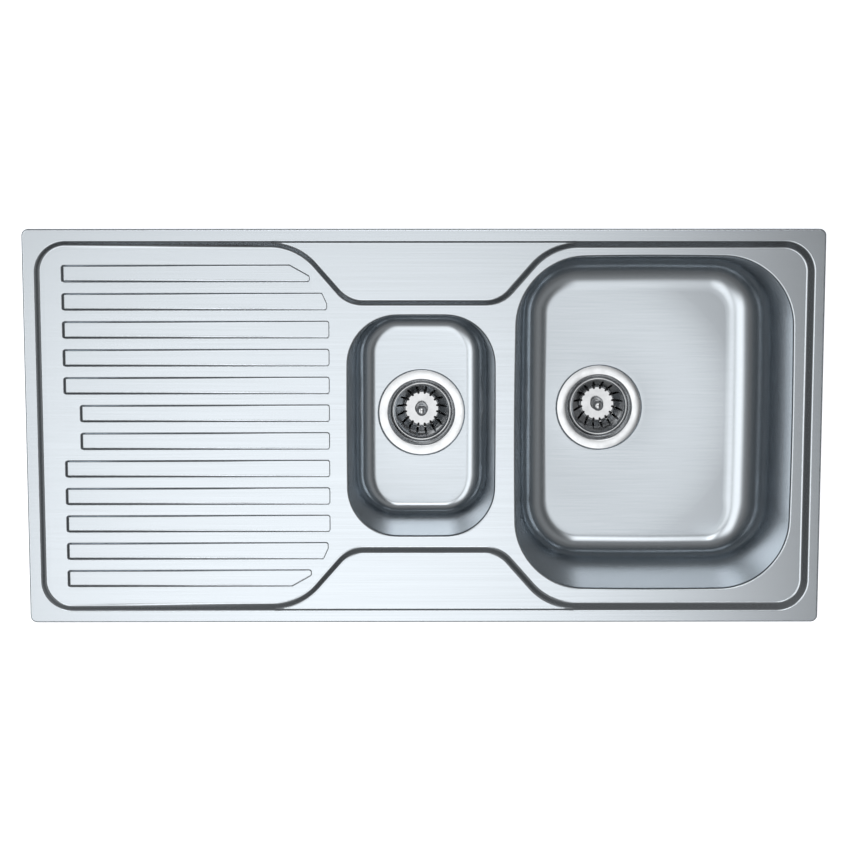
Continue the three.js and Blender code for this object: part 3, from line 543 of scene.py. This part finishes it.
def deck():
    """One pressed sheet with its turned-down edge, the recess, the ledges and the grooves."""
    blank = Outline(rectangle(-LENGTH / 2, LENGTH / 2, -WIDTH / 2, WIDTH / 2, CORNER_RADIUS))
    edge = blank.ring(EDGE_RADIUS)
    apertures = [bowl_outline(spec)[0] for spec in (MAIN_BOWL, HALF_BOWL)]
    wall_run = bend_reach(WALL_SHOULDER, WALL_ANGLE) + bend_reach(WALL_FOOT, WALL_ANGLE)
    wall_run += RECESS_DEPTH / math.tan(WALL_ANGLE) + RING_STEP
    ledge_run = 2 * bend_reach(LEDGE_RADIUS, WALL_ANGLE)
    ledge_run += LEDGE_DROP / math.tan(WALL_ANGLE) + RING_STEP
    groove_run = 2 * GROOVE_RADIUS * math.sin(GROOVE_ANGLE)
    groove_run += GROOVE_DEPTH_LEFT / math.tan(GROOVE_ANGLE)
    loops = [edge] + [list(aperture) for aperture in apertures]
    loops += [RECESS.ring(inset) for inset in np.arange(0, wall_run, RING_STEP)]
    loops += [ledge.ring(inset) for ledge in LEDGES for inset in np.arange(0, ledge_run, RING_STEP)]
    groove_insets = np.arange(0, groove_run, GROOVE_RING_STEP)
    loops += [groove.ring(inset, GROOVE_FINE)
              for groove in DRAINER_GROOVES for inset in groove_insets]
    side = RECESS_SIDE - 2 * WALL_FOOT - RING_STEP
    bends = DRAINER_END + DRAINER_BLEND * np.linspace(-1, 1, BEND_POINTS)
    lines = [[np.array((x, -side)), np.array((x, side))] for x in bends]

    def holds(points):
        kept = blank.depth(points) > EDGE_RADIUS
        for aperture in apertures:
            kept &= ~inside_polygon(aperture, points)
        return kept

    top = plan(deck_height, loops, lines, holds)
    outward = np.array(blank.ring(0)) - np.array(blank.ring(1))
    corner = np.array(edge)
    bend = EDGE_RADIUS
    leans = np.linspace(0, math.pi / 2, BEND_POINTS)
    steps = [(lean, FRAME_TOP - bend * (1 - math.cos(lean))) for lean in leans]
    levels = np.linspace(FRAME_TOP - bend, SKIRT_BOTTOM, SKIRT_POINTS)[1:]
    steps += [(leans[-1], level) for level in levels]
    skirt = bands([raised(corner + outward * bend * math.sin(lean), level)
                   for lean, level in steps])
    skirt.normals = np.vstack([raised(outward * math.sin(lean), math.cos(lean))
                               for lean, _ in steps])
    return sheet_mesh("deck_sheet", top.plus(skirt), SHEET)


# ---- Bowls ----

def wall_section(depth, shoulder, foot, angle, steps):
    """The (run, drop) points of a pressed wall, from its shoulder to its foot.

    The steps are the points of the shoulder, the spans of the flank and the points of the foot.
    """
    flank = (depth - (shoulder + foot) * (1 - math.cos(angle))) / math.sin(angle)
    run = (shoulder + foot) * math.sin(angle) + flank * math.cos(angle)
    upper = [(shoulder * math.sin(turn), shoulder * (1 - math.cos(turn)))
             for turn in np.linspace(0, angle, steps[0])]
    lower = [(run - foot * math.sin(turn), depth - foot * (1 - math.cos(turn)))
             for turn in np.linspace(angle, 0, steps[2])]
    middle = np.linspace(upper[-1], lower[0], steps[1] + 1)[1:-1]
    return upper + [tuple(point) for point in middle] + lower


def drain_centre(spec):
    """The middle of a bowl's drain and the height of its recess's floor."""
    low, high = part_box(f"{spec['name']}_waste_flange_cup")
    middle = (low + high) / (2 * MM)
    return middle.x, middle.y, high.z / MM - FLANGE_TOP


def fillets(spec, outward):
    """The radius of the fillet round the floor at each of a bowl's outward normals."""
    x, y = outward[:, 0], outward[:, 1]
    return (np.where(x > 0, spec["right"], spec["left"]) * x ** 2
            + np.where(y > 0, spec["back"], spec["front"]) * y ** 2)


def bowl(spec):
    """A bowl's sheet, ring by ring from the drain's hole out over the floor and up the walls."""
    outline, outward = bowl_outline(spec)
    middle_x, middle_y, recess_floor = drain_centre(spec)
    middle = np.array((middle_x, middle_y))
    floor_edge = recess_floor + DRAIN_DEPTH
    depth = spec["depth"] + SHEET
    angle = math.pi / 2 - spec["draft"]
    walls = np.array([wall_section(depth, BOWL_SHOULDER, fillet, angle, BOWL_WALL_STEPS)
                      for fillet in fillets(spec, outward)])

    def lowered(flat, height):
        """The floor's gentle fall to the drain, which fades out up the walls."""
        away = np.clip((np.linalg.norm(flat - middle, axis=1) - DRAIN_RADIUS) / FALL_REACH, 0, 1)
        low = np.clip((FLOOR_Z - height) / depth, 0, 1) ** FALL_FADE
        fall = (FLOOR_Z - depth - floor_edge) * (1 - away ** 2 * (3 - 2 * away)) * low
        return raised(flat, height - fall)

    rings = [lowered(outline - outward * walls[:, k, :1], FLOOR_Z - walls[:, k, 1])
             for k in range(walls.shape[1])]
    foot = rings[-1]
    away = foot[:, :2] - middle
    away /= np.linalg.norm(away, axis=1)[:, None]
    edge = middle + away * DRAIN_RADIUS
    for share in np.linspace(0, 1, FLOOR_RINGS + 2)[1:-1]:
        flat = foot[:, :2] * (1 - share) + edge * share
        rings.append(lowered(flat, np.full(len(flat), FLOOR_Z - depth)))
    drain_wall = wall_section(DRAIN_DEPTH, DRAIN_BEND, DRAIN_BEND, DRAIN_ANGLE, DRAIN_WALL_STEPS)
    levels = [(DRAIN_RADIUS - run, floor_edge - drop) for run, drop in drain_wall]
    for radius, level in levels + [(DRAIN_HOLE, recess_floor)]:
        rings.append(raised(middle + away * radius, level))
    return sheet_mesh(f"{spec['name']}_bowl_shell", bands(rings[::-1]), SHEET)


# ---- Basket strainer wastes ----

def cut_out(piece, cutter):
    """Cuts the cutter's space out of the piece, then deletes the cutter."""
    modifier = piece.modifiers.new("cut", "BOOLEAN")
    modifier.object = cutter
    modifier.solver = "EXACT"
    seen = piece.evaluated_get(bpy.context.evaluated_depsgraph_get())
    mesh = bpy.data.meshes.new_from_object(seen)
    piece.modifiers.clear()
    piece.data = mesh
    bpy.data.objects.remove(cutter)


# The turned pieces' corners are (distance from the axis, height, radius of the bend there).

def flange_cup(name, at):
    """The waste's flange and cup in one turned sheet, with a ring of holes in its floor."""
    sheet = CUP_SHEET
    dimple = CUP_FLOOR - DIMPLE_DEPTH
    under = [
        (SCREW_HOLE, dimple - sheet, 0),
        (DIMPLE_RADIUS + sheet, dimple - sheet, 1),
        (DIMPLE_RADIUS + sheet, CUP_FLOOR - sheet, 0.5),
        (CUP_FLOOR_RADIUS, CUP_FLOOR - sheet, 4),
        (SEAT_RADIUS + sheet, SEAT_Z - sheet, 0.6),
        (SEAT_EDGE + sheet, SEAT_Z - sheet, 1.5),
        (MOUTH_RADIUS + sheet, GASKET, 1.5),
        (FLANGE_RADIUS, GASKET, 0.3),
    ]
    upper = [
        (FLANGE_RADIUS, FLANGE_TOP, 0.7),
        (MOUTH_RADIUS, FLANGE_TOP, 2.5),
        (SEAT_EDGE, SEAT_Z, 0.8),
        (SEAT_RADIUS, SEAT_Z, 1.2),
        (CUP_FLOOR_RADIUS - sheet, CUP_FLOOR, 3),
        (DIMPLE_RADIUS, CUP_FLOOR, 0.8),
        (DIMPLE_RADIUS, dimple, 0.6),
        (SCREW_HOLE, dimple, 0),
    ]
    arcs = Outline(under + upper).arcs
    cup = turned_mesh(name, [point for arc in arcs for point in arc_points(*arc, CUP_FINE)], at)
    low, high = CUP_FLOOR - 2 * sheet, CUP_FLOOR + sheet
    bore = [(0, low), (CUP_HOLE_RADIUS, low), (CUP_HOLE_RADIUS, high), (0, high)]
    drills = [turned_mesh("drill", bore, (at[0] + x, at[1] + y, at[2]), DRILL_ROUND)
              for x, y in circle(CUP_HOLE_CIRCLE, CUP_HOLES)]
    for drill in drills:
        cut_out(cup, drill)
    return cup


def basket_height(radius):
    """Height of the basket's upper face at each distance from its axis."""
    sheet = BASKET_SHEET
    rim = SEAT_Z + GAP
    profile = bent([
        (0, BASKET_FLOOR, 0),
        (BASKET_FLOOR_RADIUS - sheet, BASKET_FLOOR, 2.5),
        (BASKET_TOP_RADIUS - sheet, rim + sheet, 1),
        (BASKET_TOP_RADIUS + 1.5 * sheet, rim + 3 * sheet, 0.8),
        (BASKET_RIM - sheet, rim + 3 * sheet, 0.9),
        (BASKET_RIM, rim + sheet, 0),
    ], BASKET_FINE)
    return np.interp(radius, *np.array(profile).T)


def basket(name, at):
    """The strainer basket's sheet, whose slots run from its floor over the bend and up its wall."""
    def height(points):
        return basket_height(np.hypot(points[:, 0], points[:, 1]))

    slots = []
    for k in range(SLOTS):
        angle = 2 * math.pi * (k + 0.5) / SLOTS
        turn = np.array(((math.cos(angle), math.sin(angle)), (-math.sin(angle), math.cos(angle))))
        half = SLOT_WIDTH / 2
        box = rectangle(SLOT_INNER, SLOT_OUTER, -half, half, half - SHORTEST)
        slots.append(np.array(Outline(box).ring(step=SLOT_FINE)) @ turn)
    steps = BASKET_BEND_REACH * np.linspace(-1, 1, BEND_POINTS)
    radii = sorted({round(float(bend + step), 3) for bend in BASKET_BENDS for step in steps})
    radii = [radius for radius in radii + BASKET_RINGS if radius < BASKET_RIM - RING_GAP]
    loops = [circle(radius) for radius in radii + [BASKET_RIM]] + [list(slot) for slot in slots]

    def holds(points):
        kept = np.hypot(points[:, 0], points[:, 1]) < BASKET_RIM
        for slot in slots:
            kept &= ~inside_polygon(slot, points)
        return kept

    return sheet_mesh(name, plan(height, loops, [], holds), BASKET_SHEET, at)


def knob(name, at):
    base = BASKET_FLOOR
    top = base + KNOB_HEIGHT
    head = top - KNOB_RADIUS
    corners = [
        (0, base, 0),
        (KNOB_RADIUS + 2, base, 0.3),
        (KNOB_RADIUS + 1, base + 2, 1),
        (KNOB_STEM, base + 4, 2),
        (KNOB_STEM, head - 2, 1.5),
        (KNOB_RADIUS, head, 1),
        (KNOB_RADIUS, top - 1, 5),
        (0, top, 0),
    ]
    return turned_mesh(name, bent(corners), at, KNOB_ROUND)


def stopper(name, at):
    bottom = CUP_FLOOR + GAP
    bevel = STOPPER / 3
    corners = [
        (0, bottom, 0),
        (STOPPER_RADIUS - bevel, bottom, 0.3),
        (STOPPER_RADIUS, bottom + bevel, 0.4),
        (STOPPER_RADIUS - bevel, bottom + STOPPER, 0.3),
        (0, bottom + STOPPER, 0),
    ]
    return turned_mesh(name, bent(corners), at)


# ---- Finishes ----

# Each finish: metallic, its grain's waves a metre along x, y and z, its dark and its pale colour,
# its least and its most roughness, and the depth of its grain in metres.
FINISHES = {
    "deck_steel": (1, (5, 700, 700), (0.605, 0.65, 0.69), (0.62, 0.665, 0.705), 0.19, 0.22, 1e-7),
    # The bowls' steel is the deck's stainless steel made darker, which paints shade over the bowls'
    # walls and floors.
    "shaded_bowl_steel": (1, (12, 1100, 400), (0.57, 0.615, 0.655), (0.59, 0.635, 0.675), 0.2, 0.23, 1e-7),
    "polished_steel": (1, (60, 60, 60), (0.66, 0.675, 0.69), (0.71, 0.725, 0.74), 0.12, 0.18, 1e-6),
    # The basket's and knob's steel is the polished steel made darker, which paints shade over the
    # basket and the knob.
    "shaded_polished_steel": (1, (60, 60, 60), (0.50, 0.51, 0.52), (0.55, 0.56, 0.57), 0.08, 0.14, 1e-6),
    "zinc_plate": (1, (400, 400, 400), (0.46, 0.48, 0.49), (0.60, 0.62, 0.63), 0.38, 0.55, 1e-5),
    "rubber": (0, (500, 500, 500), (0.020, 0.020, 0.022), (0.035, 0.035, 0.038), 0.6, 0.8, 2e-5),
    "seal_foam": (0, (1200, 1200, 1200), (0.10, 0.10, 0.11), (0.20, 0.20, 0.21), 0.85, 0.95, 1e-4),
    "white_plastic": (0, (300, 300, 300), (0.78, 0.79, 0.80), (0.86, 0.87, 0.88), 0.38, 0.5, 1e-5),
}
GRAIN_DETAIL = 4
GRAIN_ROUGHNESS = 0.55
GRAIN_LOW, GRAIN_HIGH = 0.3, 0.7


def plain_material(name, metallic, roughness):
    material = bpy.data.materials.new(name)
    material.use_nodes = True
    shader = material.node_tree.nodes["Principled BSDF"]
    shader.inputs["Metallic"].default_value = metallic
    shader.inputs["Roughness"].default_value = roughness
    return material, material.node_tree, shader


def grain(tree, waves):
    """Noise over the object's own space, stretched by its waves a metre along each axis."""
    space = tree.nodes.new("ShaderNodeTexCoord")
    mapping = tree.nodes.new("ShaderNodeMapping")
    mapping.inputs["Scale"].default_value = waves
    texture = tree.nodes.new("ShaderNodeTexNoise")
    texture.inputs["Scale"].default_value = 1
    texture.inputs["Detail"].default_value = GRAIN_DETAIL
    texture.inputs["Roughness"].default_value = GRAIN_ROUGHNESS
    tree.links.new(space.outputs["Object"], mapping.inputs["Vector"])
    tree.links.new(mapping.outputs["Vector"], texture.inputs["Vector"])
    return texture.outputs["Fac"]


def ranged(tree, value, low, high):
    node = tree.nodes.new("ShaderNodeMapRange")
    sockets = ("From Min", "From Max", "To Min", "To Max")
    for socket, number in zip(sockets, (GRAIN_LOW, GRAIN_HIGH, low, high)):
        node.inputs[socket].default_value = number
    tree.links.new(value, node.inputs["Value"])
    return node.outputs["Result"]


def blended(tree, value, dark, pale):
    node = tree.nodes.new("ShaderNodeMix")
    node.data_type = "RGBA"
    node.inputs["A"].default_value = (*dark, 1)
    node.inputs["B"].default_value = (*pale, 1)
    tree.links.new(value, node.inputs["Factor"])
    return node.outputs["Result"]


def bumped(tree, shader, value, depth):
    """Raises the shader's surface by that depth, in metres, where the value is 1."""
    node = tree.nodes.new("ShaderNodeBump")
    node.inputs["Distance"].default_value = depth
    node.inputs["Strength"].default_value = 1
    tree.links.new(value, node.inputs["Height"])
    tree.links.new(node.outputs["Normal"], shader.inputs["Normal"])


def finish(name, metallic, waves, dark, pale, smooth, rough, depth):
    """A material whose grain moves its colour, its roughness and its height."""
    material, tree, shader = plain_material(name, metallic, rough)
    marks = grain(tree, waves)
    shade = ranged(tree, marks, 0, 1)
    tree.links.new(blended(tree, shade, dark, pale), shader.inputs["Base Color"])
    tree.links.new(ranged(tree, marks, rough, smooth), shader.inputs["Roughness"])
    bumped(tree, shader, marks, depth)
    return material


FINISH = {name: finish(name, *numbers) for name, numbers in FINISHES.items()}
DECK_STEEL, SHADED_BOWL_STEEL, POLISHED, SHADED_POLISHED = (
    FINISH[name] for name in ("deck_steel", "shaded_bowl_steel", "polished_steel", "shaded_polished_steel"))
RUBBER = FINISH["rubber"]

dress(deck(), DECK_STEEL, "stainless_steel", "sink", "deck")
for spec in (MAIN_BOWL, HALF_BOWL):
    side = spec["name"]
    at = drain_centre(spec)
    # The bowls get the darkened steel, which paints their shade.
    dress(bowl(spec), SHADED_BOWL_STEEL, "stainless_steel", "sink", f"{side}_bowl")
    dress(flange_cup(f"{side}_flange", at), POLISHED, "polished_steel", "sink",
          f"{side}_waste_flange_cup")
    carried = f"{side}_basket"
    # The basket and its knob get the darkened polished steel, which paints their shade.
    dress(basket(f"{side}_strainer", at), SHADED_POLISHED, "polished_steel", carried, f"{side}_basket")
    dress(knob(f"{side}_knob", at), SHADED_POLISHED, "polished_steel", carried, f"{side}_basket_knob")
    dress(stopper(f"{side}_stopper", at), RUBBER, "rubber", carried, f"{side}_basket_stopper")

# The nodes that are still shown as they are take their look from a word in their name.
LOOKS = {"gasket": "rubber", "pad": "rubber", "seal": "seal_foam", "body": "white_plastic"}
for name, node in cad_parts.items():
    if node.hide_render:
        continue
    look = next((LOOKS[word] for word in name.split("_") if word in LOOKS), "zinc_plate")
    node.data.materials.clear()
    node.data.materials.append(FINISH[look])

# ---- Floor, light and camera ----

FLOOR_REACH = 30
FLOOR_GREY = 0.85
FLOOR_ROUGHNESS = 0.9
FLOOR_GLOW = 0.9

mesh = bpy.data.meshes.new("floor")
corners = [(-FLOOR_REACH, -FLOOR_REACH), (FLOOR_REACH, -FLOOR_REACH), (FLOOR_REACH, FLOOR_REACH),
           (-FLOOR_REACH, FLOOR_REACH)]
mesh.from_pydata([(x, y, CAD_LOW.z) for x, y in corners], [], [(0, 1, 2, 3)])
floor = place("floor", mesh)

# The floor glows to the camera and in reflections alone, so that it is white but keeps its shadow.
paper, tree, shader = plain_material("floor_paper", 0, FLOOR_ROUGHNESS)
shader.inputs["Base Color"].default_value = (FLOOR_GREY, FLOOR_GREY, FLOOR_GREY, 1)
shader.inputs["Emission Color"].default_value = (1, 1, 1, 1)
path = tree.nodes.new("ShaderNodeLightPath")
seen = path.outputs["Is Camera Ray"]
for kind in ("Is Glossy Ray", "Is Transmission Ray"):
    either = tree.nodes.new("ShaderNodeMath")
    either.operation = "MAXIMUM"
    tree.links.new(seen, either.inputs[0])
    tree.links.new(path.outputs[kind], either.inputs[1])
    seen = either.outputs[0]
glow = tree.nodes.new("ShaderNodeMath")
glow.operation = "MULTIPLY"
glow.inputs[1].default_value = FLOOR_GLOW
tree.links.new(seen, glow.inputs[0])
tree.links.new(glow.outputs[0], shader.inputs["Emission Strength"])
floor.data.materials.append(paper)

# Soft lamps at a distance. Each is a rectangle in the world's x and y directions: its middle,
# half its sides, how soft its edges are along both, and its level.
LAMPS = [
    (-0.025, -0.28, 0.145, 0.25, 0.35, 0.5, 1.5),
    (0, 0.27, 0.12, 0.19, 0.5, 0.4, 2.4),
    (-0.42, 0, 0.19, 0.4, 0.4, 0.4, 1.5),
]
# The world's level at each height, from the horizon at 0 to straight up at 1.
HEIGHTS = [
    (0.0, 0.05), (0.2, 0.05), (0.36, 0.16), (0.5, 0.16),
    (0.68, 0.28), (0.8, 0.28), (0.92, 0.12), (1.0, 0.1),
]

world = bpy.data.worlds.new("studio")
bpy.context.scene.world = world
world.use_nodes = True
tree = world.node_tree
back = tree.nodes["Background"]
space = tree.nodes.new("ShaderNodeTexCoord")
split = tree.nodes.new("ShaderNodeSeparateXYZ")
ramp = tree.nodes.new("ShaderNodeValToRGB")
tree.links.new(space.outputs["Generated"], split.inputs[0])
tree.links.new(split.outputs["Z"], ramp.inputs["Fac"])
while len(ramp.color_ramp.elements) < len(HEIGHTS):
    ramp.color_ramp.elements.new(0.5)
for element, (at, level) in zip(ramp.color_ramp.elements, HEIGHTS):
    element.position = at
    element.color = (level, level, level, 1)


def maths(operation, first, second):
    node = tree.nodes.new("ShaderNodeMath")
    node.operation = operation
    for slot, value in enumerate((first, second)):
        if isinstance(value, (int, float)):
            node.inputs[slot].default_value = value
        else:
            tree.links.new(value, node.inputs[slot])
    return node.outputs["Value"]


def between(axis, middle, half, soft, level):
    """The level where the direction along that axis is near the middle, fading out at both ends."""
    away = maths("ABSOLUTE", maths("SUBTRACT", split.outputs[axis], middle), 0)
    edge = tree.nodes.new("ShaderNodeMapRange")
    edge.interpolation_type = "SMOOTHSTEP"
    edge.inputs["From Min"].default_value = half * (1 + soft)
    edge.inputs["From Max"].default_value = half * (1 - soft)
    edge.inputs["To Max"].default_value = level
    tree.links.new(away, edge.inputs["Value"])
    return edge.outputs["Result"]


total = ramp.outputs["Color"]
for x, y, half_x, half_y, soft_x, soft_y, level in LAMPS:
    along_x = between("X", x, half_x, soft_x, level)
    along_y = between("Y", y, half_y, soft_y, 1)
    total = maths("ADD", total, maths("MULTIPLY", along_x, along_y))
tree.links.new(total, back.inputs["Strength"])
back.inputs["Color"].default_value = (1, 1, 1, 1)

# The camera stands high above the sink and a little behind it. FOCUS is in widths of its sensor.
VIEW_POINT = Vector((-0.009, 0.447, 3.0))
LEAN_ALONG = math.radians(0.25)
LEAN_ACROSS = math.radians(8.57)
SENSOR = 36
FOCUS = 2.8234

camera = bpy.data.cameras.new("camera")
camera.sensor_width = SENSOR
camera.lens = camera.sensor_width * FOCUS
viewer = bpy.data.objects.new("camera", camera)
bpy.context.scene.collection.objects.link(viewer)
viewer.location = VIEW_POINT
ahead = Vector((math.sin(LEAN_ALONG), -math.sin(LEAN_ACROSS), -1.0)).normalized()
right = ahead.cross(Vector((0, 1, 0))).normalized()
turn = Matrix((right, right.cross(ahead), -ahead)).transposed()
viewer.rotation_euler = turn.to_euler()
bpy.context.scene.camera = viewer
bpy.context.scene.view_settings.view_transform = "Standard"
